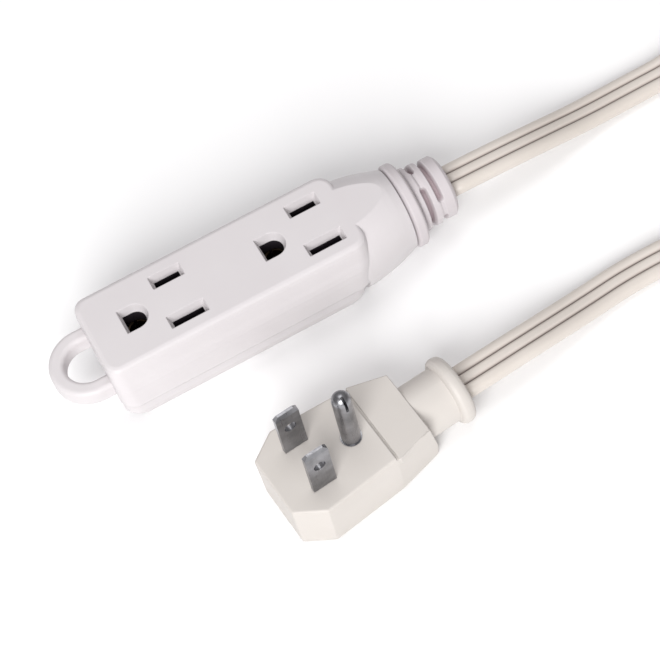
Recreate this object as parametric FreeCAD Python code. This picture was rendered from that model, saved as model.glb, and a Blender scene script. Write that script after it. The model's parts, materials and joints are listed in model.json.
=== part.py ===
import FreeCAD, Part
import math
import os

# Extension cord: flat-topped two-outlet head, flat three-core cord, right-angle three-pin plug.
# Frame: +X from the hang loop towards the cord, +Z up out of the outlets, Z = 0 the floor,
# X = 0 and Y = 0 the middle of the head. Millimetres.

V = FreeCAD.Vector

# ---- head ----
HEAD_H = 24.5                # height of the head
HEAD_MID = 31.0              # distance from outlet 1's ground hole to the head's middle
OUTLET_PITCH = 38.6          # outlet to outlet along X
BLADE_SPACING = 12.7         # line blade to neutral blade
PIN_OFFSET = 11.9            # ground pin to the blade line
Z_PART = HEAD_H - 13.5       # parting plane of the two shells
AXIS_Z = HEAD_H - 12.2       # axis of the neck, boot and cord exit
LOOP_TIP = -25.2 - HEAD_MID  # outermost point of the hang loop
BLOCK_X0 = -12.5 - HEAD_MID
BLOCK_X1 = 60.2 - HEAD_MID
LOWER_X1 = 56.8 - HEAD_MID
NECK_X1 = 72.9 - HEAD_MID
FLANGE_R = 11.6
FLANGE_W = 4.0
BOOT_END_X = 87.2 - HEAD_MID
BOOT_R = (8.9, 8.6, 8.3)
BORE_R = 6.6
WALL = 2.0
TOP_WALL = 2.5
DECK_T = 3.6                 # dark deck of the contact carrier, under the top wall
SLOT_W = 2.3                 # blade slots

# ---- cord ----
CORD_W = 9.6
CORD_T = 3.7
COIL_C = (214.0 - HEAD_MID, -33.4)
COIL_R_OUT = 56.4            # outermost turn, to the middle of the cord
COIL_R_IN = 47.6
COIL_Z0 = 0.8
COIL_H = 2 * CORD_W

# ---- plug ----
PLUG_FACE_Z = 17.8           # height of the blade face with the plug on its back
PLUG_ORIGIN = (19.5 - HEAD_MID, -55.3)
PLUG_YAW = 5.3
PLUG_LEN = 42.0              # blade line to the flange's end
COLLAR_DROP = 8.6            # collar axis below the blade face
FLANGE_P_R = 9.2
COLLAR_R = 7.5
BLADE_W = 6.35
BLADE_T = 1.5
BLADE_L = 17.0
PIN_R = 2.4
PIN_L = 21.0
SHANK_R = 2.7                # pin inside the body

# Routes, from the boot and from the plug to the coil; the heights are of the cord's middle.
HEAD_ROUTE = [
    (56.2, 0.0, 12.3),
    (70.0, 0.2, 11.7),
    (85.0, 1.6, 8.6),
    (100.0, 4.2, 3.6),
    (115.0, 5.4, 2.1),
    (130.5, 5.2, 2.6),
    (145.6, 9.5, 4.7),
    (159.1, 18.3, 5.5),
    (174.8, 23.0, 5.6),
]
PLUG_ROUTE = [
    (61.32 - HEAD_MID, -51.42, 9.2),
    (45.0, -50.0, 8.8),
    (58.0, -47.8, 6.3),
    (71.0, -45.2, 3.1),
    (84.0, -43.4, 2.1),
    (101.5, -43.7, 2.3),
    (117.8, -48.9, 4.8),
    (131.9, -59.2, 9.4),
    (142.2, -73.3, 13.9),
    (156.8, -84.1, 15.2),
    (174.0, -89.8, 15.1),
]


def gx(x):
    """X of a point given from outlet 1's ground hole."""
    return x - HEAD_MID


def box(x0, x1, y0, y1, z0, z1):
    return Part.makeBox(x1 - x0, y1 - y0, z1 - z0, V(x0, y0, z0))


def cyl(radius, p, direction, length):
    return Part.makeCylinder(radius, length, V(*p), V(*direction))


def fuse_all(shapes):
    out = shapes[0]
    for s in shapes[1:]:
        out = out.fuse(s)
    return out.removeSplitter()


def rounded_wire(x0, x1, hw, r0, r1, z):
    """Rectangle with corner radius r0 at the x0 end and r1 at the x1 end."""
    def arc(cx, cy, r, a):
        a = math.radians(a)
        p = [V(cx + r * math.cos(a + t), cy + r * math.sin(a + t), z)
             for t in (0, math.pi / 4, math.pi / 2)]
        return Part.Arc(p[0], p[1], p[2]).toShape(), p[0], p[2]

    arcs = [arc(x1 - r1, hw - r1, r1, 0), arc(x0 + r0, hw - r0, r0, 90),
            arc(x0 + r0, -hw + r0, r0, 180), arc(x1 - r1, -hw + r1, r1, 270)]
    edges = []
    for i, (edge, _, end) in enumerate(arcs):
        edges.append(edge)
        edges.append(Part.makeLine(end, arcs[(i + 1) % 4][1]))
    return Part.Wire(edges)


def stack(levels):
    """Ruled solid through rounded rectangles (z, x0, x1, half width, r0, r1)."""
    return Part.makeLoft([rounded_wire(x0, x1, hw, r0, r1, z)
                          for z, x0, x1, hw, r0, r1 in levels], True, True)


def route_edges(points):
    """Straight runs joined by tangent arcs as large as the runs allow; also the radii."""
    pts = [V(*p) for p in points]
    edges = []
    radii = []
    start = pts[0]
    for a, b, c in zip(pts, pts[1:], pts[2:]):
        u = (a - b).normalize()
        w = (c - b).normalize()
        turn = math.pi - u.getAngle(w)
        reach = 0.45 * min((a - b).Length, (c - b).Length)
        radius = reach / math.tan(turn / 2)
        radii.append(round(radius, 1))
        t0 = b + u * reach
        t1 = b + w * reach
        mid_dir = (u + w).normalize()
        centre = b + mid_dir * math.hypot(radius, reach)
        mid = centre - mid_dir * radius
        edges.append(Part.LineSegment(start, t0).toShape())
        edges.append(Part.Arc(t0, mid, t1).toShape())
        start = t1
    edges.append(Part.LineSegment(start, pts[-1]).toShape())
    return edges, radii


def flat_profile(p, d, width=CORD_W, thick=CORD_T):
    """Flat cord section square to direction d, its width level."""
    d = V(d).normalize()
    side = V(0, 0, 1).cross(d).normalize()
    up = d.cross(side).normalize()
    r = thick / 2 - 0.02
    hw = width / 2 - r

    def at(a, b):
        return p + side * a + up * b

    return Part.Wire([
        Part.LineSegment(at(-hw, r), at(hw, r)).toShape(),
        Part.Arc(at(hw, r), at(hw + r, 0), at(hw, -r)).toShape(),
        Part.LineSegment(at(hw, -r), at(-hw, -r)).toShape(),
        Part.Arc(at(-hw, -r), at(-hw - r, 0), at(-hw, r)).toShape()])


def flat_area(width=CORD_W, thick=CORD_T):
    r = thick / 2 - 0.02
    return 2 * r * (width - 2 * r) + math.pi * r * r


def flat_tube(points, name, first, last):
    """Flat tube along the route's edges first..last: even ones are runs, odd ones arcs."""
    edges, radii = route_edges(points)
    wire = Part.Wire(edges[first:last + 1])
    lead = edges[first]
    section = flat_profile(lead.valueAt(lead.FirstParameter), lead.tangentAt(lead.FirstParameter))
    mk = Part.BRepOffsetAPI.MakePipeShell(wire)
    mk.setBiNormalMode(V(0, 0, 1))
    mk.add(section)
    mk.build()
    mk.makeSolid()
    shape = mk.shape()
    print(name, "radii", radii[first // 2:(last + 1) // 2])
    print(name, "length %.1f" % wire.Length, "volume %.0f" % shape.Volume,
          "section x length %.0f" % (flat_area() * wire.Length))
    return shape


def round_tube(points, radius):
    wire = Part.Wire(route_edges(points)[0])
    start = V(*points[0])
    d = V(*points[1]) - start
    circle = Part.Wire(Part.Circle(start, d, radius).toShape())
    return wire.makePipeShell([circle], True, False)


# ---------------------------------------------------------------- head

UPPER_LEVELS = [  # depth below the top, end inset, half width, left corner, right corner
    (0.0, 1.35, 11.0, 2.6, 3.2), (0.22, 0.75, 11.65, 2.9, 3.6), (0.7, 0.3, 12.2, 3.1, 3.9),
    (1.6, 0.1, 12.65, 3.3, 4.2), (4.6, 0.0, 13.75, 3.5, 4.6), (5.8, 0.0, 14.3, 3.6, 4.8),
    (7.2, 0.0, 14.8, 3.8, 5.2), (9.0, 0.0, 15.15, 4.0, 5.6), (13.5, 0.0, 15.7, 4.2, 6.5)]


def upper_block():
    return stack([(HEAD_H - d, BLOCK_X0 + i, BLOCK_X1 - 0.8 * i, hw, r0, r1)
                  for d, i, hw, r0, r1 in UPPER_LEVELS])


NECK_SECTIONS = [  # distance from outlet 1's ground hole, half width, half height
    (54.0, 15.0, 13.45), (58.0, 14.85, 13.42), (60.5, 14.6, 13.33), (62.5, 14.25, 13.2),
    (64.5, 13.8, 13.0), (66.5, 13.25, 12.76), (68.5, 12.6, 12.46), (70.5, 11.85, 12.05),
    (72.9, 11.05, 11.2)]


def neck():
    sections = []
    for x, a, b in NECK_SECTIONS:
        centre = V(gx(x), 0, AXIS_Z)
        if a > b:
            curve = Part.Ellipse(centre + V(0, a, 0), centre + V(0, 0, b), centre)
            first = 0
        else:
            curve = Part.Ellipse(centre + V(0, 0, b), centre + V(0, -a, 0), centre)
            first = -1
        quarters = [(q * math.pi / 2, (q + 1) * math.pi / 2) for q in range(first, first + 4)]
        sections.append(Part.Wire([Part.ArcOfEllipse(curve, q0, q1).toShape() for q0, q1 in quarters]))
    body = Part.makeLoft(sections, True, True)
    body = body.cut(box(gx(50), gx(80), -20, 20, HEAD_H, HEAD_H + 5))
    body = body.cut(box(gx(50), gx(80), -20, 20, -5, 0.3))
    return body.cut(box(gx(50), LOWER_X1 + 0.1, -20, 20, -5, Z_PART))


def hang_loop():
    """U-shaped eye on the end wall, its section rounded."""
    z0 = Z_PART + 0.1
    z1 = HEAD_H - 7.7
    cx = gx(-15.3)
    outer = LOOP_TIP
    r_out = cx - outer
    r_in = r_out - 4.0
    body = fuse_all([cyl(r_out, (cx, 0, z0), (0, 0, 1), z1 - z0),
                     box(cx, BLOCK_X0 + 1.2, -r_out, r_out, z0, z1)])
    eye = fuse_all([cyl(r_in, (cx, 0, z0 - 1), (0, 0, 1), z1 - z0 + 2),
                    box(cx, BLOCK_X0 + 0.2, -r_in, r_in, z0 - 1, z1 + 1)])
    body = body.cut(eye)
    rims = [e for e in body.Edges
            if abs(e.BoundBox.ZLength) < 0.01 and e.BoundBox.XMax < BLOCK_X0 + 1.0]
    rims = [e for e in rims if e.Length > 2.0]
    return body.makeFillet(1.2, rims)


def slot_recess(cx, cy, length, width, depth):
    """Lead-in that narrows from the top face to its floor."""
    top = rounded_wire(cx - length / 2, cx + length / 2, width / 2, 0.25, 0.25, HEAD_H + 0.01)
    low = rounded_wire(cx - length / 2 + 0.75, cx + length / 2 - 0.75, width / 2 - 0.75,
                       0.2, 0.2, HEAD_H - depth)
    lead = Part.makeLoft([top, low], True, True)
    lead.translate(V(0, cy, 0))
    return lead


def d_wire(cx, cy, r, flat, z):
    """D outline: flat side towards -X, round side towards +X."""
    pts = [V(cx - flat, cy - r, z), V(cx, cy - r, z), V(cx + r, cy, z), V(cx, cy + r, z),
           V(cx - flat, cy + r, z)]
    return Part.Wire([Part.LineSegment(pts[0], pts[1]).toShape(),
                      Part.Arc(pts[1], pts[2], pts[3]).toShape(),
                      Part.LineSegment(pts[3], pts[4]).toShape(),
                      Part.LineSegment(pts[4], pts[0]).toShape()])


def outlet_cutters(x):
    """Everything cut through the top for one outlet whose ground hole is at x."""
    cuts = []
    bx = x + PIN_OFFSET
    for side, length in ((1, 6.9), (-1, 8.5)):
        cy = side * BLADE_SPACING / 2
        cuts.append(slot_recess(bx, cy, length + 1.9, 4.0, 2.3))
    top = d_wire(x, 0, 3.65, 3.4, HEAD_H + 0.01)
    low = d_wire(x, 0, 2.9, 2.7, HEAD_H - 2.3)
    cuts.append(Part.makeLoft([top, low], True, True))
    return cuts + outlet_holes(x)


def outlet_holes(x):
    """The two blade slots and the ground hole, straight down from the floors of their lead-ins."""
    cuts = []
    bx = x + PIN_OFFSET
    for side, length in ((1, 6.9), (-1, 8.5)):
        cy = side * BLADE_SPACING / 2
        cuts.append(box(bx - length / 2, bx + length / 2, cy - SLOT_W / 2, cy + SLOT_W / 2,
                        HEAD_H - 7, HEAD_H - 1))
    hole = Part.Face(d_wire(x, 0, 2.8, 2.6, HEAD_H - 7))
    cuts.append(hole.extrude(V(0, 0, 6)))
    return cuts


SCREW_SPOTS = [(gx(-8.1), 8.3), (gx(-8.1), -8.3), (gx(25.3), 8.6), (gx(25.3), -8.6)]


def upper_shell():
    body = upper_block().fuse(neck())
    room = stack([(Z_PART - 0.1, BLOCK_X0 + WALL, gx(55.2), 13.5, 2.4, 2.4),
                  (HEAD_H - TOP_WALL, BLOCK_X0 + WALL + 0.4, gx(55.4), 10.9, 2.0, 2.0)])
    body = body.cut(room)
    posts = [cyl(2.9, (x, y, Z_PART + 0.4), (0, 0, 1), 9.2) for x, y in SCREW_SPOTS]
    for part in posts + [hang_loop()]:
        body = body.fuse(part)
    for x, y in SCREW_SPOTS:
        body = body.cut(cyl(1.15, (x, y, Z_PART - 0.1), (0, 0, 1), 8.2))
    body = body.cut(cyl(BORE_R, (gx(50), 0, AXIS_Z), (1, 0, 0), 30))
    for i in range(2):
        for cutter in outlet_cutters(gx(0) + i * OUTLET_PITCH):
            body = body.cut(cutter)
    return body


def lower_shell():
    levels = [(Z_PART - 0.12, 0.25, 15.4, 4.0, 4.0), (7.2, 0.3, 15.2, 4.0, 4.0),
              (5.6, 0.7, 14.8, 4.0, 4.2), (3.6, 1.6, 13.9, 4.2, 4.6), (1.4, 2.9, 12.5, 4.6, 5.0),
              (0.4, 3.7, 11.6, 4.8, 5.2), (0.0, 4.5, 10.8, 4.8, 5.2)]
    body = stack([(z, BLOCK_X0 + i, LOWER_X1 - i * 0.8, hw, r0, r1) for z, i, hw, r0, r1 in levels])
    outer = body.copy()
    room = stack([(2.0, BLOCK_X0 + 4.6, gx(52.4), 10.6, 2.2, 2.2),
                  (5.2, BLOCK_X0 + 2.7, gx(54.4), 12.7, 2.4, 2.4),
                  (Z_PART, BLOCK_X0 + 2.2, gx(54.9), 13.3, 2.4, 2.4)])
    body = body.cut(room)
    body = body.cut(cyl(BORE_R, (gx(50), 0, AXIS_Z), (1, 0, 0), 30))
    posts = [cyl(3.2, (x, y, 1.0), (0, 0, 1), Z_PART - 1.3).common(outer) for x, y in SCREW_SPOTS]
    posts += [cyl(3.2, (x, y, 8.0), (0, 0, 1), Z_PART + 0.28 - 8.0) for x, y in SCREW_SPOTS]
    body = fuse_all([body] + posts)
    body = body.common(box(gx(-20), gx(60), -20, 20, -1, Z_PART + 0.3))
    for x, y in SCREW_SPOTS:
        body = body.cut(cyl(1.6, (x, y, -1), (0, 0, 1), 20))
        body = body.cut(cyl(3.0, (x, y, -1), (0, 0, 1), 4.2))
    return body


def screws():
    """Four self-tapping screws, heads sunk in the base."""
    out = []
    for x, y in SCREW_SPOTS:
        head = cyl(2.7, (x, y, 0.9), (0, 0, 1), 2.25)
        shank = cyl(1.3, (x, y, 3.0), (0, 0, 1), Z_PART + 0.2 - 3.0)
        thread = cyl(1.12, (x, y, Z_PART + 0.1), (0, 0, 1), 6.4)
        cross = box(x - 1.5, x + 1.5, y - 0.35, y + 0.35, 0.5, 1.9)
        cross = cross.fuse(box(x - 0.35, x + 0.35, y - 1.5, y + 1.5, 0.5, 1.9))
        out.append(fuse_all([head, shank, thread]).cut(cross))
    return Part.makeCompound(out)


BUS_Z0 = 5.4
BUS_Z1 = 9.6
CONTACT_TOP = HEAD_H - 6.4


def blade_bus(side):
    """Brass strip with a two-leaf spring contact under each slot."""
    yb = side * 9.6
    yc = side * BLADE_SPACING / 2
    parts = [box(gx(7.6), gx(54.2), min(yb, yb + side * 0.7), max(yb, yb + side * 0.7), BUS_Z0, BUS_Z1)]
    for i in range(2):
        cx = gx(PIN_OFFSET) + i * OUTLET_PITCH
        for off in (-1.45, 0.95):
            parts.append(box(cx - 3.1, cx + 3.1, yc + off, yc + off + 0.5, BUS_Z0, CONTACT_TOP))
        y0, y1 = sorted((yc - side * 1.45, yb + side * 0.7))
        parts.append(box(cx - 3.1, cx + 3.1, y0, y1, BUS_Z0, BUS_Z0 + 0.6))
    return fuse_all(parts)


def ground_bus():
    """Strip with a split round contact under each ground hole."""
    parts = [box(gx(-4.2), gx(54.0), -2.2, 2.2, 3.7, 4.3)]
    for i in range(2):
        cx = gx(0) + i * OUTLET_PITCH
        parts.append(cyl(3.0, (cx, 0, 4.0), (0, 0, 1), CONTACT_TOP - 4.0))
    body = fuse_all(parts)
    for i in range(2):
        cx = gx(0) + i * OUTLET_PITCH
        body = body.cut(cyl(2.5, (cx, 0, 4.3), (0, 0, 1), 20))
        body = body.cut(box(cx - 0.4, cx + 0.4, -5, 5, 8.5, 30))
    return body


def contact_carrier():
    """Moulded tray that keeps the three conductors apart."""
    body = stack([(2.1, gx(-5.2), gx(50.6), 9.9, 2.0, 2.0), (3.6, gx(-5.2), gx(50.6), 9.9, 2.0, 2.0)])
    walls = []
    for side in (1, -1):
        y0, y1 = sorted((side * 3.3, side * 4.3))
        walls.append(box(gx(6.2), gx(50.4), y0, y1, 3.4, HEAD_H - TOP_WALL - DECK_T + 0.5))
    z1 = HEAD_H - TOP_WALL - 0.04
    z0 = z1 - DECK_T
    deck = stack([(z0, gx(-5.4), gx(55.2), 10.2, 1.5, 1.5), (z1, gx(-5.4), gx(55.2), 10.2, 1.5, 1.5)])
    body = fuse_all([body, deck] + walls)
    for i in range(2):
        for hole in outlet_holes(gx(0) + i * OUTLET_PITCH):
            body = body.cut(hole)
    for x, y in SCREW_SPOTS:
        body = body.cut(cyl(3.5, (x, y, 0), (0, 0, 1), 30))
    return body


def strain_relief():
    """Boot with a flange ring, three rings and staggered slots between them."""
    x0 = NECK_X1
    x1 = x0 + FLANGE_W
    end = BOOT_END_X
    profile = [(x0 - 12.0, 0.0), (x0 - 12.0, BORE_R - 0.15), (x0, BORE_R - 0.15), (x0, FLANGE_R - 1.0),
               (x0 + 0.35, FLANGE_R - 0.42), (x0 + 0.9, FLANGE_R - 0.1), (x0 + 1.6, FLANGE_R),
               (x0 + 2.5, FLANGE_R - 0.05), (x0 + 3.2, FLANGE_R - 0.35), (x0 + 3.7, FLANGE_R - 0.9),
               (x1, FLANGE_R - 1.7), (x1 + 0.05, 7.9), (x1 + 0.35, 7.9)]
    for c, half, r in ((x1 + 1.5, 1.05, BOOT_R[0]), (x1 + 4.15, 1.45, BOOT_R[1])):
        profile += [(c - half, r - 0.45), (c - half + 0.3, r - 0.12), (c - half + 0.75, r),
                    (c + half - 0.75, r), (c + half - 0.3, r - 0.12), (c + half, r - 0.45)]
    r = BOOT_R[2]
    profile += [(x1 + 6.0, r - 0.4), (x1 + 6.3, r - 0.1), (x1 + 6.8, r), (end - 2.0, r), (end - 1.1, r - 0.2),
                (end - 0.5, r - 0.6), (end - 0.12, r - 1.2), (end, r - 1.9), (end, 0.0)]
    pts = [V(x, 0, r) for x, r in profile]
    face = Part.Face(Part.makePolygon(pts + [pts[0]]))
    body = face.revolve(V(0, 0, 0), V(1, 0, 0), 360)
    # gap, start angle, sweep: measured about +X from straight up, towards -Y
    for gap, a0, sweep in ((2.55, -64, 48), (2.55, 22, 114), (2.55, 172, 80), (5.75, -112, 168),
                           (5.75, 94, 118)):
        body = body.cut(boot_slot(x1 + gap, a0, sweep, 0.42, 0.5, 6.7))
        body = body.cut(boot_slot(x1 + gap, a0 - 3, sweep + 6, 0.5, 1.0, 7.75))
    body.translate(V(0, 0, AXIS_Z))
    return body.cut(bore_slot(x0 - 13, end + 1))


def boot_slot(x, a0, sweep, bottom, top, r):
    """Cutter that widens outwards, swept about the X axis; angle 0 is up and grows towards -Y."""
    face = Part.Face(Part.makePolygon([V(x - bottom, 0, r), V(x + bottom, 0, r), V(x + top, 0, 9.2),
                                       V(x - top, 0, 9.2), V(x - bottom, 0, r)]))
    solid = face.revolve(V(0, 0, 0), V(1, 0, 0), sweep)
    solid.rotate(V(0, 0, 0), V(1, 0, 0), a0)
    return solid


def bore_slot(x0, x1):
    d = V(1, 0, 0)
    return Part.Face(flat_profile(V(x0, 0, AXIS_Z), d, CORD_W + 0.1, CORD_T + 0.1)).extrude(V(x1 - x0, 0, 0))


def head_tail():
    """End of the flat cord inside the boot and neck."""
    x0 = gx(59.5)
    return Part.Face(flat_profile(V(x0, 0, AXIS_Z), V(1, 0, 0))).extrude(V(BOOT_END_X - x0, 0, 0))


def core_wire(side):
    """One insulated core from the cord's end to its bus."""
    start = (gx(59.5), side * 3.1, AXIS_Z)
    if side == 0:
        pts = [start, (gx(56.4), 0.0, AXIS_Z - 0.6), (gx(53.6), 0.0, 8.6), (gx(52.6), 0.0, 6.4)]
    else:
        pts = [start, (gx(56.6), side * 3.6, AXIS_Z - 0.4), (gx(54.6), side * 5.6, 10.2),
               (gx(53.2), side * 7.6, 8.8)]
    return round_tube(pts, 1.2)


def core_ends():
    """Bared, soldered ends of the three cores."""
    out = [cyl(0.6, (gx(52.6), 0.0, 6.4), (-0.4, 0, -1), 2.1)]
    for side in (1, -1):
        out.append(cyl(0.6, (gx(53.2), side * 7.6, 8.8), (-0.5, side * 0.9, -0.4), 2.0))
    return Part.makeCompound(out)


# ---------------------------------------------------------------- cord

HEAD_SPLIT = 10              # edge of the route where the run ends and the coil's lead begins
PLUG_SPLIT = 14


def cord_head_run():
    return flat_tube(HEAD_ROUTE, "cord_head_run", 0, HEAD_SPLIT)


def cord_plug_run():
    return flat_tube(PLUG_ROUTE, "cord_plug_run", 0, PLUG_SPLIT)


def cord_coil():
    """Outer shape of the tied coil with its two leads."""
    cx, cy = COIL_C
    half = CORD_T / 2 + 0.1
    ring = cyl(COIL_R_OUT + half, (cx, cy, COIL_Z0), (0, 0, 1), COIL_H)
    ring = ring.cut(cyl(COIL_R_IN - half, (cx, cy, COIL_Z0 - 1), (0, 0, 1), COIL_H + 2))
    head_lead = flat_tube(HEAD_ROUTE, "coil lead, head side", HEAD_SPLIT + 1, HEAD_SPLIT + 5)
    plug_lead = flat_tube(PLUG_ROUTE, "coil lead, plug side", PLUG_SPLIT + 1, PLUG_SPLIT + 5)
    return fuse_all([ring, head_lead, plug_lead])


def coil_ties():
    """Two flat cable ties round the bundle, each with its lock."""
    cx, cy = COIL_C
    half = CORD_T / 2 + 0.1
    r0 = COIL_R_IN - half - 0.15
    r1 = COIL_R_OUT + half + 0.15
    out = []
    for angle in (0.0, 205.0):
        band = box(r0 - 0.8, r1 + 0.8, -2.4, 2.4, 0.0, COIL_Z0 + COIL_H + 0.85)
        band = band.makeFillet(1.0, [e for e in band.Edges if abs(e.BoundBox.YLength - 4.8) < 0.01])
        band = band.cut(box(r0, r1, -3, 3, 0.75, COIL_Z0 + COIL_H + 0.05))
        lock = box(r1 + 0.7, r1 + 4.2, -3.6, 3.6, 12.0, 17.5)
        lock = lock.cut(box(r1 + 1.6, r1 + 3.2, -2.6, 2.6, 11, 18))
        tail = box(r1 + 1.7, r1 + 2.5, -2.3, 2.3, 9.5, 19.0)
        tie = fuse_all([band, lock, tail, box(r1 + 0.7, r1 + 2.5, -2.3, 2.3, 9.5, 10.3)])
        tie.rotate(V(0, 0, 0), V(0, 0, 1), angle)
        tie.translate(V(cx, cy, 0))
        out.append(tie)
    return Part.makeCompound(out)


# ---------------------------------------------------------------- plug

def place_plug(shape):
    """From the plug's own frame (blade line at 0, cord side +X, face at Z 0) to its place."""
    shape.rotate(V(0, 0, 0), V(0, 0, 1), PLUG_YAW)
    shape.translate(V(PLUG_ORIGIN[0], PLUG_ORIGIN[1], PLUG_FACE_Z))
    return shape


def soft_polygon(points, radius, z):
    """Closed outline through (x, y) points with every corner rounded."""
    pts = [V(x, y, z) for x, y in points]
    n = len(pts)
    ends = []
    for i in range(n):
        a, b, c = pts[i - 1], pts[i], pts[(i + 1) % n]
        u = (a - b).normalize()
        w = (c - b).normalize()
        half = u.getAngle(w) / 2
        reach = radius / math.tan(half)
        bis = (u + w).normalize()
        mid = b + bis * (radius / math.sin(half) - radius)
        ends.append((b + u * reach, mid, b + w * reach))
    edges = []
    for i in range(n):
        edges.append(Part.Arc(*ends[i]).toShape())
        edges.append(Part.makeLine(ends[i][2], ends[(i + 1) % n][0]))
    return Part.Wire(edges)


def plug_outline(z, inset, radius):
    i = inset
    pts = [(-10.5 + i, 8.5 - i * 0.4), (-3.2 + i * 0.4, 13.2 - i), (17.6, 11.6 - i), (30.4 - i, 8.8 - i)]
    return soft_polygon(pts + [(x, -y) for x, y in reversed(pts)], radius, z)


def plug_shell():
    """Outer shape of the moulded body, with its second, sloping facet."""
    base = -PLUG_FACE_Z
    levels = [(base, 1.3, 0.9), (base + 0.25, 0.75, 1.1), (base + 0.8, 0.35, 1.2), (base + 1.7, 0.2, 1.2),
              (-0.75, 0.0, 0.75), (-0.35, 0.08, 0.7), (-0.1, 0.28, 0.6), (0.0, 0.55, 0.5)]
    body = Part.makeLoft([plug_outline(z, i, r) for z, i, r in levels], True, True)
    step = Part.Face(Part.makePolygon([V(17.2, -20, 2), V(17.2, -20, -0.75), V(32, -20, -1.9), V(32, -20, 2),
                                       V(17.2, -20, 2)])).extrude(V(0, 40, 0))
    body = body.cut(step)
    wing = Part.makeLoft([facet_wire(-4.0, 0.45), facet_wire(-1.6, 0.05), facet_wire(0.5, 0.0)], True, True)
    slope = Part.Face(Part.makePolygon([V(16, -20, 2), V(16, -20, -0.35), V(32, -20, -1.15), V(32, -20, 2),
                                        V(16, -20, 2)])).extrude(V(0, 40, 0))
    body = body.fuse(wing.cut(slope))
    slant = Part.Face(Part.makePolygon([V(27.2, -20, 1), V(28.2, -20, -1.2), V(30.6, -20, base + 0.6),
                                        V(40, -20, base + 0.6), V(40, -20, 1), V(27.2, -20, 1)]))
    body = body.cut(slant.extrude(V(0, 40, 0)))
    axis = -COLLAR_DROP
    collar = cyl(COLLAR_R, (27.4, 0, axis), (1, 0, 0), 11.2)
    flange = revolve_x([(37.9, COLLAR_R - 0.1), (38.1, 8.2), (38.5, 8.8), (39.2, FLANGE_P_R - 0.05),
                        (39.9, FLANGE_P_R), (40.7, FLANGE_P_R - 0.1), (41.4, 8.75), (41.8, 8.2),
                        (PLUG_LEN, 7.5)], axis)
    return fuse_all([body, collar, flange])


def facet_wire(z, inset):
    pts = [(17.9 + inset, 12.0 - inset), (30.0, 8.6 - inset), (30.0, -8.6 + inset),
           (17.9 + inset, -12.0 + inset)]
    return soft_polygon(pts, 0.35, z)


def revolve_x(profile, z):
    pts = [V(profile[0][0], 0, 0)] + [V(x, 0, r) for x, r in profile] + [V(profile[-1][0], 0, 0)]
    solid = Part.Face(Part.makePolygon(pts + [pts[0]])).revolve(V(0, 0, 0), V(1, 0, 0), 360)
    solid.translate(V(0, 0, z))
    return solid


def plug_bridge_block():
    return box(-4.4, 14.8, -8.6, 8.6, -7.2, -1.6)


def blade(side):
    """Folded flat blade with its hole, bevelled tip and crimp tail inside the body."""
    y = side * BLADE_SPACING / 2
    h = BLADE_W / 2
    t = BLADE_T / 2
    outline = [V(-h, y - t, -9.6), V(h, y - t, -9.6), V(h, y - t, BLADE_L - 1.3), V(h - 1.0, y - t, BLADE_L),
               V(-h + 1.0, y - t, BLADE_L), V(-h, y - t, BLADE_L - 1.3)]
    body = Part.Face(Part.makePolygon(outline + [outline[0]])).extrude(V(0, BLADE_T, 0))
    for s in (1, -1):
        bevel = Part.Face(Part.makePolygon([
            V(-5, y + s * t, BLADE_L - 1.5), V(-5, y + s * (t + 1), BLADE_L - 1.5),
            V(-5, y + s * (t + 1), BLADE_L + 1), V(-5, y + s * 0.35, BLADE_L + 0.02),
            V(-5, y + s * t, BLADE_L - 1.5)])).extrude(V(10, 0, 0))
        body = body.cut(bevel)
    body = body.cut(cyl(1.6, (0, y - 3, BLADE_L - 6.6), (0, 1, 0), 6))
    return body


def ground_pin():
    """Round folded pin with a seam at its tip."""
    x = PIN_OFFSET
    body = fuse_all([cyl(PIN_R, (x, 0, -1), (0, 0, 1), 1 + PIN_L - PIN_R),
                     cyl(SHANK_R, (x, 0, -9.6), (0, 0, 1), 9.6),
                     Part.makeSphere(PIN_R, V(x, 0, PIN_L - PIN_R))])
    seam = box(x - 0.35, x + 0.35, -PIN_R - 1, -0.5, PIN_L - 4.6, PIN_L + 1)
    return body.cut(seam)


def bridge():
    body = plug_bridge_block()
    for side in (1, -1):
        body = body.cut(blade(side))
    return body.cut(cyl(SHANK_R, (PIN_OFFSET, 0, -9.6), (0, 0, 1), 40))


def plug_core(side):
    """One core from the cord's end to the crimp on its blade or pin."""
    start = (27.5, side * 3.1, -COLLAR_DROP)
    if side == 0:
        pts = [start, (21.5, 0.0, -COLLAR_DROP - 0.5), (16.6, 0.0, -11.0)]
    else:
        pts = [start, (20.0, side * 4.3, -COLLAR_DROP - 0.9), (12.0, side * 6.2, -10.4),
               (5.2, side * 6.35, -11.3)]
    return round_tube(pts, 1.15)


def crimp(x, y):
    return box(x - 1.6, x + 1.6, y - 1.3, y + 1.3, -13.2, -9.6)


def crimps():
    """Crimp barrels under the two blades and the pin."""
    h = BLADE_SPACING / 2
    return Part.makeCompound([crimp(0, h), crimp(0, -h), crimp(PIN_OFFSET, 0)])


def plug_tail():
    """End of the flat cord inside the collar."""
    x0 = 27.5
    return Part.Face(flat_profile(V(x0, 0, -COLLAR_DROP), V(1, 0, 0))).extrude(V(PLUG_LEN - x0, 0, 0))


def plug_body(inner):
    body = plug_shell()
    for part in inner:
        body = body.cut(part)
    return body


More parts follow.
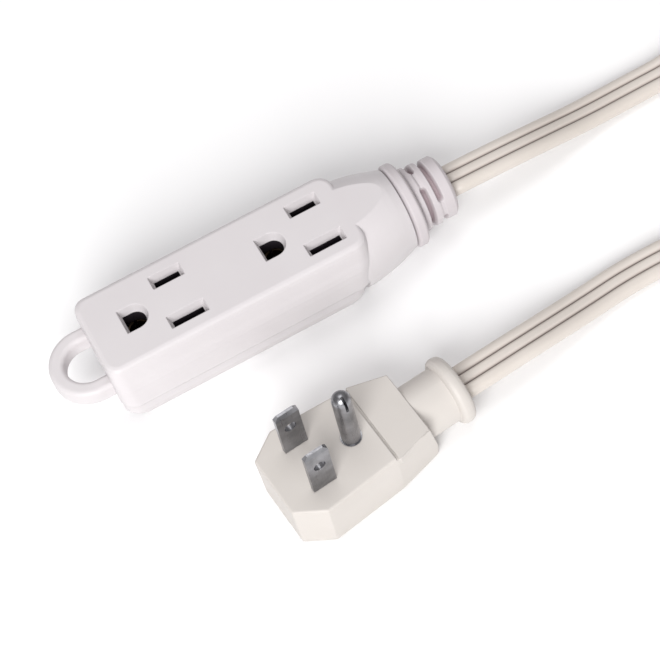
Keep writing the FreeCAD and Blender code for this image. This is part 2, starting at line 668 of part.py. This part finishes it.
def build():
    nodes = {
        "upper_shell": upper_shell(),
        "lower_shell": lower_shell(),
        "shell_screws": screws(),
        "contact_carrier": contact_carrier(),
        "line_bus": blade_bus(1),
        "neutral_bus": blade_bus(-1),
        "ground_bus": ground_bus(),
        "strain_relief": strain_relief(),
        "head_cord_tail": head_tail(),
        "head_core_line": core_wire(1),
        "head_core_neutral": core_wire(-1),
        "head_core_ground": core_wire(0),
        "head_core_ends": core_ends(),
        "cord_head_run": cord_head_run(),
        "cord_coil": cord_coil(),
        "cord_plug_run": cord_plug_run(),
        "coil_ties": coil_ties(),
    }
    inner = {
        "plug_bridge": bridge(),
        "line_blade": blade(1),
        "neutral_blade": blade(-1),
        "ground_pin": ground_pin(),
        "plug_crimps": crimps(),
        "plug_core_line": plug_core(1),
        "plug_core_neutral": plug_core(-1),
        "plug_core_ground": plug_core(0),
        "plug_cord_tail": plug_tail(),
    }
    nodes["plug_body"] = place_plug(plug_body(list(inner.values())))
    for name, shape in inner.items():
        nodes[name] = place_plug(shape)
    return nodes


os.makedirs("parts", exist_ok=True)
for name, shape in build().items():
    solids = shape.Solids
    bb = shape.BoundBox
    print("%-18s solids %d valid %s vol %9.1f  x %.1f..%.1f y %.1f..%.1f z %.2f..%.2f" % (
        name, len(solids), shape.isValid(), shape.Volume, bb.XMin, bb.XMax, bb.YMin, bb.YMax,
        bb.ZMin, bb.ZMax))
    shape.exportStep("parts/%s.step" % name)
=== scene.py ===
import json
import math

import bmesh
import bpy
from mathutils import Matrix, Vector


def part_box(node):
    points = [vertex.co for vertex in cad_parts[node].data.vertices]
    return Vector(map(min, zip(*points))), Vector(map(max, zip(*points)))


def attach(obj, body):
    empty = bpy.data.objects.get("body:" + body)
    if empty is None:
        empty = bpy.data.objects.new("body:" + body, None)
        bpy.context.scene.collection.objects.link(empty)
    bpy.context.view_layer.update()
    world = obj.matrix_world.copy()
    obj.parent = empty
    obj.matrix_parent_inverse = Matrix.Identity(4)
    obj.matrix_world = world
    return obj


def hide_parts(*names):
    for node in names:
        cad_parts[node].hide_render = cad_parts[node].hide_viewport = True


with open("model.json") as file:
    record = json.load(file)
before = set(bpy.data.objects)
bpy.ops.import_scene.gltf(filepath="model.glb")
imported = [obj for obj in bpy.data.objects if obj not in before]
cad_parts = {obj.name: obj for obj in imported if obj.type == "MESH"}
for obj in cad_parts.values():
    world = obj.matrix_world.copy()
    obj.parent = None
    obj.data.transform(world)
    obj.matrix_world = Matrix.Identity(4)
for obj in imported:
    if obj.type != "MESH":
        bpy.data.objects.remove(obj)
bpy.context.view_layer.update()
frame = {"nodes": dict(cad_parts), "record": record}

NODES = frame["nodes"]
MM = 0.001

# ------------------------------------------------------------------ camera
HEAD_MID = 31.0              # mm, from outlet 1's ground hole to the head's middle
HEAD_H = 24.5                # mm, height of the head
CAM_ANGLES = (-14.63, 59.37, -15.25)  # azimuth, elevation, roll in degrees
CAM_TARGET = (39.66 - HEAD_MID, -29.5, HEAD_H)  # mm
CAM_DISTANCE = 484.48        # mm
FOCAL_PX = 2000.0            # focal length in picture pixels
PICTURE_PX = 660.0
SENSOR = 36.0


def make_camera():
    az, el, roll = (math.radians(a) for a in CAM_ANGLES)
    back = Vector((math.sin(az) * math.cos(el), -math.cos(az) * math.cos(el), math.sin(el)))
    right = Vector((math.cos(az), math.sin(az), 0.0))
    up = back.cross(right)
    right2 = math.cos(roll) * right + math.sin(roll) * up
    up2 = -math.sin(roll) * right + math.cos(roll) * up
    target = Vector(CAM_TARGET) * MM
    cam = bpy.data.objects.new("camera", bpy.data.cameras.new("camera"))
    cam.data.sensor_width = SENSOR
    cam.data.lens = FOCAL_PX / PICTURE_PX * SENSOR
    cam.data.clip_start = 0.01
    rot = Matrix((right2, up2, back)).transposed().to_4x4()
    cam.matrix_world = Matrix.Translation(target + back * CAM_DISTANCE * MM) @ rot
    bpy.context.collection.objects.link(cam)
    bpy.context.scene.camera = cam


make_camera()

# ------------------------------------------------------------------ cord
CORD_W = 9.6                 # mm, as are all lengths below
CORD_T = 3.7
COIL_C = (214.0 - HEAD_MID, -33.4)
R_OUT = 56.4
R_IN = 47.6
Z_LOW = 5.6
Z_TOP = 15.2
TURNS = 4.5
PER_TURN = 16
RIB_PITCH = 3.0

HEAD_ROUTE = [
    (56.2, 0.0, 12.3), (70.0, 0.2, 11.7), (85.0, 1.6, 8.6), (100.0, 4.2, 3.6), (115.0, 5.4, 2.1),
    (130.5, 5.2, 2.6), (145.6, 9.5, 4.7), (159.1, 18.3, 5.5), (174.8, 23.0, 5.6)]
PLUG_ROUTE = [
    (30.32, -51.42, 9.2), (45.0, -50.0, 8.8), (58.0, -47.8, 6.3), (71.0, -45.2, 3.1), (84.0, -43.4, 2.1),
    (101.5, -43.7, 2.4), (117.8, -48.9, 5.2), (131.9, -59.2, 10.4), (142.2, -73.3, 14.4),
    (156.8, -84.1, 15.2), (174.0, -89.8, 15.1)]


def smooth(a, b, x):
    t = min(1.0, max(0.0, (x - a) / (b - a)))
    return t * t * (3 - 2 * t)


def coil_points():
    """Two layers of on-edge turns: in along the lower layer, up, and out along the upper."""
    n = int(TURNS * PER_TURN)
    step = 2 * math.pi / PER_TURN
    out = []
    for k in range(n):
        u = k / (n - 1)
        inward = min(1.0, min(u, 1 - u) / 0.46)
        r = (R_OUT - (R_OUT - R_IN) * inward) / math.cos(step / 2)
        a = math.pi / 2 - step * (k + 0.5)
        z = Z_LOW + (Z_TOP - Z_LOW) * smooth(0.44, 0.56, u)
        out.append((COIL_C[0] + r * math.cos(a), COIL_C[1] + r * math.sin(a), z))
    return out


def nurbs_line(name, points):
    """The sampled line, in metres, of one open spline with control points in mm."""
    data = bpy.data.curves.new(name, "CURVE")
    data.dimensions = "3D"
    data.resolution_u = 8
    spline = data.splines.new("NURBS")
    spline.points.add(len(points) - 1)
    for p, q in zip(spline.points, points):
        p.co = (q[0] * MM, q[1] * MM, q[2] * MM, 1.0)
    spline.order_u = 3
    spline.use_endpoint_u = True
    obj = bpy.data.objects.new(name, data)
    bpy.context.collection.objects.link(obj)
    bpy.context.view_layer.update()
    mesh = bpy.data.meshes.new_from_object(obj)
    line = [v.co.copy() for v in mesh.vertices]
    bpy.data.objects.remove(obj)
    return line


def cord_section():
    """Three flat-topped ribs with a narrow valley between each pair: (x, y, groove_shade) in mm,
    groove_shade being a painted shade weight that rises towards each valley.
    """
    half = []
    steps = (0.0, 0.3, 0.55, 0.75, 0.88, 0.96, 1.0)
    for rib in (1, 0, -1):
        for side in (1, -1):
            outer = rib == side
            reach = CORD_W / 2 - RIB_PITCH if outer else RIB_PITCH / 2
            run = []
            for t in steps:
                if outer:
                    y = CORD_T / 2 * math.sqrt(1 - t * t)
                else:
                    y = CORD_T / 2 * (1 - 0.52 * t ** 5)
                # painted shade: the third value rises to 1 at the valley between two ribs
                run.append((rib * RIB_PITCH + side * reach * t, y, 0.0 if outer else t ** 7))
            half += run[::-1] if side == 1 else run[1:]
    half = [q for i, q in enumerate(half) if not i or abs(q[0] - half[i - 1][0]) > 1e-6]
    return half + [(-x, -y, g) for x, y, g in half[1:-1]]


def sweep(name, line, section, roll):
    """Closed tube of a section along a line, its width level where roll is 0."""
    bm = bmesh.new()
    # per-vertex weight of painted shade (groove_shade), 1 in the valleys between the ribs
    shade = bm.verts.layers.float.new("groove_shade")
    rings = []
    n = len(line)
    run = 0.0
    total = sum((b - a).length for a, b in zip(line, line[1:]))
    for i, p in enumerate(line):
        t = (line[min(i + 1, n - 1)] - line[max(i - 1, 0)]).normalized()
        side = Vector((0, 0, 1)).cross(t).normalized()
        up = t.cross(side).normalized()
        if i:
            run += (p - line[i - 1]).length
        a = roll(run, total)
        s2 = math.cos(a) * side + math.sin(a) * up
        u2 = -math.sin(a) * side + math.cos(a) * up
        ring = []
        for x, y, groove_shade in section:
            vert = bm.verts.new(p + s2 * (x * MM) + u2 * (y * MM))
            vert[shade] = groove_shade
            ring.append(vert)
        rings.append(ring)
    m = len(section)
    for a, b in zip(rings, rings[1:]):
        for j in range(m):
            bm.faces.new((a[j], a[(j + 1) % m], b[(j + 1) % m], b[j]))
    bm.faces.new(list(reversed(rings[0])))
    bm.faces.new(rings[-1])
    bmesh.ops.recalc_face_normals(bm, faces=bm.faces[:])
    mesh = bpy.data.meshes.new(name)
    bm.to_mesh(mesh)
    bm.free()
    for f in mesh.polygons:
        f.use_smooth = True
    obj = bpy.data.objects.new(name, mesh)
    bpy.context.collection.objects.link(obj)
    return obj


def cord_roll(run, total):
    """Level where it is seen, on edge in the coil."""
    head = smooth(0.066, 0.125, run)
    plug = smooth(0.085, 0.128, total - run)
    return math.radians(90) * min(head, plug)


def make_cord():
    route = HEAD_ROUTE + coil_points() + PLUG_ROUTE[::-1]
    line = nurbs_line("cord_route", route)
    obj = sweep("cord", line, cord_section(), cord_roll)
    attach(obj, "root")
    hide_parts("cord_head_run", "cord_coil", "cord_plug_run")
    return obj


CORD = make_cord()


# ------------------------------------------------------------------ boot
BOOT_SLOTS = [  # distance along, middle angle, half sweep: degrees from straight up, towards the front
    (6.55, -40, 24), (6.55, 79, 57), (6.55, 212, 40), (9.75, -28, 84), (9.75, 153, 59)]
BOOT_RINGS = ((5.25, 1.3, 8.9), (8.15, 1.6, 8.65), (12.4, 2.7, 8.4))  # centre, half width, radius
BOOT_LENGTH = 14.3           # flange face to cord end
FLANGE_W = 4.0
BRIDGE_R = 8.35              # solid between two slots
SLOT_FLOOR_R = 6.4
BOOT_STEP = 0.11             # ring spacing of the boot's mesh
BOOT_STEPS = 131
BOOT_AROUND = 224


def bump_up(d, half, edge):
    """1 inside a ring of a half width, rolling down to 0 over its rounded edge."""
    t = min(1.0, max(0.0, (half - abs(d)) / edge))
    return math.sqrt(1 - (1 - t) ** 2)


def boot_radius(x, angle):
    """Radius in mm at a distance from the flange's front face and an angle about the cord."""
    valley = 7.45 + 0.25 * smooth(4.0, 9.0, x)
    r = max(valley, 7.9 + 3.7 * bump_up(x - 2.0, 2.0, 1.25)) if x < FLANGE_W else valley
    for centre, half, top in BOOT_RINGS:
        r = max(r, valley + (top - valley) * bump_up(x - centre, half, 0.95))
    if x > 13.2:
        r = min(r, 6.3 + 2.1 * bump_up(min(0.0, BOOT_LENGTH - 1.7 - x), 1.7, 1.7))
    if FLANGE_W < x < 12.0:
        cut = 0.0
        for gap, mid, half in BOOT_SLOTS:
            off = abs((angle - mid + 180) % 360 - 180)
            along = max(0.0, math.radians(off - half + 4) * 8.0)
            d = math.hypot(x - gap, along)
            cut = max(cut, 1 - smooth(0.32, 1.0, d))
        if min(abs(x - 6.55), abs(x - 9.75)) < 1.2:
            r = max(r, BRIDGE_R)
        r -= (r - SLOT_FLOOR_R) * cut
    return r


def make_boot():
    """Flange, three rings and staggered slots, turned round the cord's exit."""
    lo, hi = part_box("strain_relief")
    start = hi[0] / MM - BOOT_LENGTH
    axis_z = (lo[2] + hi[2]) / 2
    xs = [i * BOOT_STEP for i in range(BOOT_STEPS)]
    around = BOOT_AROUND
    bm = bmesh.new()
    # per-vertex weight of painted shade (groove_shade) in the slots and between the rings
    shade = bm.verts.layers.float.new("groove_shade")
    rings = []
    for x in xs:
        ring = []
        for j in range(around):
            angle = 360 * j / around
            r = boot_radius(x, angle) * MM
            a = math.radians(angle)
            vert = bm.verts.new(((start + x) * MM, -r * math.sin(a), axis_z + r * math.cos(a)))
            # painted shade: the smaller the radius towards the slot floor, the darker, up to x = 12.5 mm
            vert[shade] = 1 - smooth(SLOT_FLOOR_R, 8.2, r / MM) if x < 12.5 else 0.0
            ring.append(vert)
        rings.append(ring)
    for a, b in zip(rings, rings[1:]):
        for j in range(around):
            k = (j + 1) % around
            bm.faces.new((a[j], a[k], b[k], b[j]))
    for ring, x in ((rings[0], xs[0]), (rings[-1], xs[-1])):
        middle = bm.verts.new(((start + x) * MM, 0, axis_z))
        for j in range(around):
            bm.faces.new((ring[j], ring[(j + 1) % around], middle))
    bmesh.ops.recalc_face_normals(bm, faces=bm.faces[:])
    mesh = bpy.data.meshes.new("boot")
    bm.to_mesh(mesh)
    bm.free()
    for f in mesh.polygons:
        f.use_smooth = True
    obj = bpy.data.objects.new("boot", mesh)
    bpy.context.collection.objects.link(obj)
    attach(obj, "root")
    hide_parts("strain_relief")
    return obj


BOOT = make_boot()


# ------------------------------------------------------------------ materials
def new_material(name, build):
    mat = bpy.data.materials.new(name)
    mat.use_nodes = True
    tree = mat.node_tree
    bsdf = tree.nodes["Principled BSDF"]
    build(tree, bsdf)
    return mat


def node(tree, kind, **values):
    out = tree.nodes.new(kind)
    for key, value in values.items():
        if key in out.inputs:
            out.inputs[key].default_value = value
        else:
            setattr(out, key, value)
    return out


def mixed(tree, factor, a, b):
    """Colour between a and b by a factor socket."""
    mix = node(tree, "ShaderNodeMix", data_type="RGBA")
    tree.links.new(factor, mix.inputs["Factor"])
    mix.inputs["A"].default_value = (*a, 1)
    mix.inputs["B"].default_value = (*b, 1)
    return mix.outputs["Result"]


def ranged(tree, value, lo, hi, to_lo, to_hi):
    m = node(tree, "ShaderNodeMapRange")
    tree.links.new(value, m.inputs["Value"])
    m.inputs["From Min"].default_value = lo
    m.inputs["From Max"].default_value = hi
    m.inputs["To Min"].default_value = to_lo
    m.inputs["To Max"].default_value = to_hi
    return m.outputs["Result"]


def moulded(name, light, dark, rough=0.42, grain=0.00035, bump=0.12, edge=0.0003, specular=0.45,
            groove_shade=None):
    """Satin moulded plastic: faint blotches in colour and gloss, fine grain, softened edges, and, where
    a groove_shade colour is given, painted shade mixed in by the mesh's groove_shade weight.
    """
    def build(tree, bsdf):
        coord = node(tree, "ShaderNodeTexCoord")
        blotch = node(tree, "ShaderNodeTexNoise", Scale=45.0, Detail=4.0, Roughness=0.55)
        tree.links.new(coord.outputs["Object"], blotch.inputs["Vector"])
        colour = mixed(tree, ranged(tree, blotch.outputs["Fac"], 0.3, 0.7, 0.0, 1.0), dark, light)
        # painted shade: darkens the colour towards groove_shade by the mesh's groove_shade weight
        if groove_shade:
            attr = node(tree, "ShaderNodeAttribute", attribute_name="groove_shade")
            mix = node(tree, "ShaderNodeMix", data_type="RGBA")
            tree.links.new(attr.outputs["Fac"], mix.inputs["Factor"])
            tree.links.new(colour, mix.inputs["A"])
            mix.inputs["B"].default_value = (*groove_shade, 1)
            colour = mix.outputs["Result"]
        tree.links.new(colour, bsdf.inputs["Base Color"])
        fine = node(tree, "ShaderNodeTexNoise", Scale=1.0 / grain, Detail=3.0, Roughness=0.6)
        tree.links.new(coord.outputs["Object"], fine.inputs["Vector"])
        wave = node(tree, "ShaderNodeTexNoise", Scale=160.0, Detail=2.0)
        tree.links.new(coord.outputs["Object"], wave.inputs["Vector"])
        tree.links.new(ranged(tree, wave.outputs["Fac"], 0.3, 0.7, rough - 0.05, rough + 0.06),
                       bsdf.inputs["Roughness"])
        b = node(tree, "ShaderNodeBump", Strength=bump, Distance=0.00004)
        tree.links.new(fine.outputs["Fac"], b.inputs["Height"])
        if edge:
            soft = node(tree, "ShaderNodeBevel", samples=6, Radius=edge)
            tree.links.new(soft.outputs["Normal"], b.inputs["Normal"])
        tree.links.new(b.outputs["Normal"], bsdf.inputs["Normal"])
        bsdf.inputs["Specular IOR Level"].default_value = specular
    return new_material(name, build)


def metal(name, light, dark, rough=0.3, axis=2, scale=900.0):
    """Drawn or stamped metal: fine lines along one axis and smudged gloss."""
    def build(tree, bsdf):
        coord = node(tree, "ShaderNodeTexCoord")
        mapping = node(tree, "ShaderNodeMapping")
        stretch = [1.0, 1.0, 1.0]
        stretch[axis] = 0.03
        mapping.inputs["Scale"].default_value = stretch
        tree.links.new(coord.outputs["Object"], mapping.inputs["Vector"])
        lines = node(tree, "ShaderNodeTexNoise", Scale=scale * 3, Detail=3.0, Roughness=0.65)
        tree.links.new(mapping.outputs["Vector"], lines.inputs["Vector"])
        smudge = node(tree, "ShaderNodeTexNoise", Scale=220.0, Detail=4.0, Roughness=0.6)
        tree.links.new(coord.outputs["Object"], smudge.inputs["Vector"])
        colour = mixed(tree, ranged(tree, smudge.outputs["Fac"], 0.35, 0.68, 0.0, 1.0), dark, light)
        tree.links.new(colour, bsdf.inputs["Base Color"])
        tree.links.new(ranged(tree, lines.outputs["Fac"], 0.3, 0.7, rough - 0.08, rough + 0.12),
                       bsdf.inputs["Roughness"])
        b = node(tree, "ShaderNodeBump", Strength=0.12, Distance=0.00003)
        tree.links.new(lines.outputs["Fac"], b.inputs["Height"])
        tree.links.new(b.outputs["Normal"], bsdf.inputs["Normal"])
        bsdf.inputs["Metallic"].default_value = 1.0
    return new_material(name, build)


MATS = {
    "head_plastic": moulded("head_white", (0.645, 0.617, 0.624), (0.62, 0.588, 0.597), edge=0.0004),
    # boot_plastic: the groove_shade colour is painted shade for the slots and the valleys between the
    # rings
    "boot_plastic": moulded("boot_white", (0.58, 0.54, 0.55), (0.55, 0.51, 0.525), rough=0.5, edge=0.0,
                             groove_shade=(0.42, 0.34, 0.36)),
    "plug_plastic": moulded("plug_warm_white", (0.60, 0.565, 0.53), (0.57, 0.535, 0.50), rough=0.48,
                            edge=0.0004),
    # cord_jacket: the groove_shade colour is painted shade for the valleys between the ribs
    "cord_jacket": moulded("cord_vinyl", (0.66, 0.61, 0.56), (0.61, 0.56, 0.51), rough=0.36, edge=0.0,
                           groove_shade=(0.22, 0.17, 0.16)),
    "tie_nylon": moulded("tie_nylon", (0.78, 0.78, 0.76), (0.72, 0.72, 0.70), rough=0.35, edge=0.0002),
    # carrier_plastic: near-black, so the carrier seen through the outlet slots stands in for painted
    # shade inside them
    "carrier_plastic": moulded("carrier_painted_shade_dark", (0.022, 0.016, 0.022), (0.014, 0.010, 0.014), rough=0.6,
                               edge=0.0),
    "brass": metal("contact_brass", (0.13, 0.09, 0.06), (0.07, 0.05, 0.035), rough=0.45),
    "blade_metal": metal("blade_nickel", (0.36, 0.36, 0.38), (0.22, 0.22, 0.23), rough=0.32),
    "screw_steel": metal("screw_zinc", (0.62, 0.62, 0.64), (0.45, 0.45, 0.47)),
    "core_black": moulded("core_black", (0.03, 0.03, 0.03), (0.02, 0.02, 0.02), edge=0.0),
    "core_white": moulded("core_white", (0.8, 0.8, 0.79), (0.74, 0.74, 0.73), edge=0.0),
    "core_green": moulded("core_green", (0.06, 0.28, 0.10), (0.04, 0.2, 0.07), edge=0.0),
    "solder": metal("solder_tin", (0.7, 0.7, 0.72), (0.5, 0.5, 0.52)),
}

SLOT_OF = {s["node"]: s["material_slot"] for s in frame["record"]["subparts"]}
for name, obj in NODES.items():
    mat = MATS[SLOT_OF[name]]
    if not obj.material_slots:
        obj.data.materials.append(mat)
    for s in obj.material_slots:
        s.link = "OBJECT"
        s.material = mat
CORD.data.materials.append(MATS["cord_jacket"])
BOOT.data.materials.append(MATS["boot_plastic"])


# ------------------------------------------------------------------ stage
def floor_material(tree, bsdf):
    """Matt white board with a barely seen mottling."""
    coord = node(tree, "ShaderNodeTexCoord")
    mottle = node(tree, "ShaderNodeTexNoise", Scale=14.0, Detail=3.0)
    tree.links.new(coord.outputs["Object"], mottle.inputs["Vector"])
    colour = mixed(tree, mottle.outputs["Fac"], (0.955, 0.955, 0.955), (0.965, 0.965, 0.965))
    tree.links.new(colour, bsdf.inputs["Base Color"])
    bsdf.inputs["Roughness"].default_value = 0.95
    bsdf.inputs["Specular IOR Level"].default_value = 0.1


FLOOR_HALF = 2.5             # m
FLOOR_Z = -0.0002            # m
WORLD_COLOUR = (1.0, 0.97, 0.99, 1)
WORLD_STRENGTH = 0.36
LIGHT_AIM = (0.03, -0.02, 0)


def make_stage():
    bm = bmesh.new()
    size = FLOOR_HALF
    for x, y in ((-size, -size), (size, -size), (size, size), (-size, size)):
        bm.verts.new((x, y, FLOOR_Z))
    bm.faces.new(bm.verts[:])
    mesh = bpy.data.meshes.new("floor")
    bm.to_mesh(mesh)
    bm.free()
    floor = bpy.data.objects.new("floor", mesh)
    bpy.context.collection.objects.link(floor)
    floor.data.materials.append(new_material("floor_white", floor_material))
    world = bpy.data.worlds.new("world")
    bpy.context.scene.world = world
    world.use_nodes = True
    background = world.node_tree.nodes["Background"]
    background.inputs["Color"].default_value = WORLD_COLOUR
    background.inputs["Strength"].default_value = WORLD_STRENGTH


def area_light(name, place, size, power):
    data = bpy.data.lights.new(name, "AREA")
    data.shape = "DISK"
    data.size = size
    data.energy = power
    obj = bpy.data.objects.new(name, data)
    obj.location = place
    obj.rotation_euler = (Vector(LIGHT_AIM) - Vector(place)).to_track_quat("-Z", "Y").to_euler()
    bpy.context.collection.objects.link(obj)


make_stage()
bpy.context.scene.view_settings.view_transform = "Standard"
area_light("key", (-0.6, -1.05, 0.88), 1.0, 22.5)
area_light("top", (0.1, 0.25, 1.3), 0.9, 5.0)
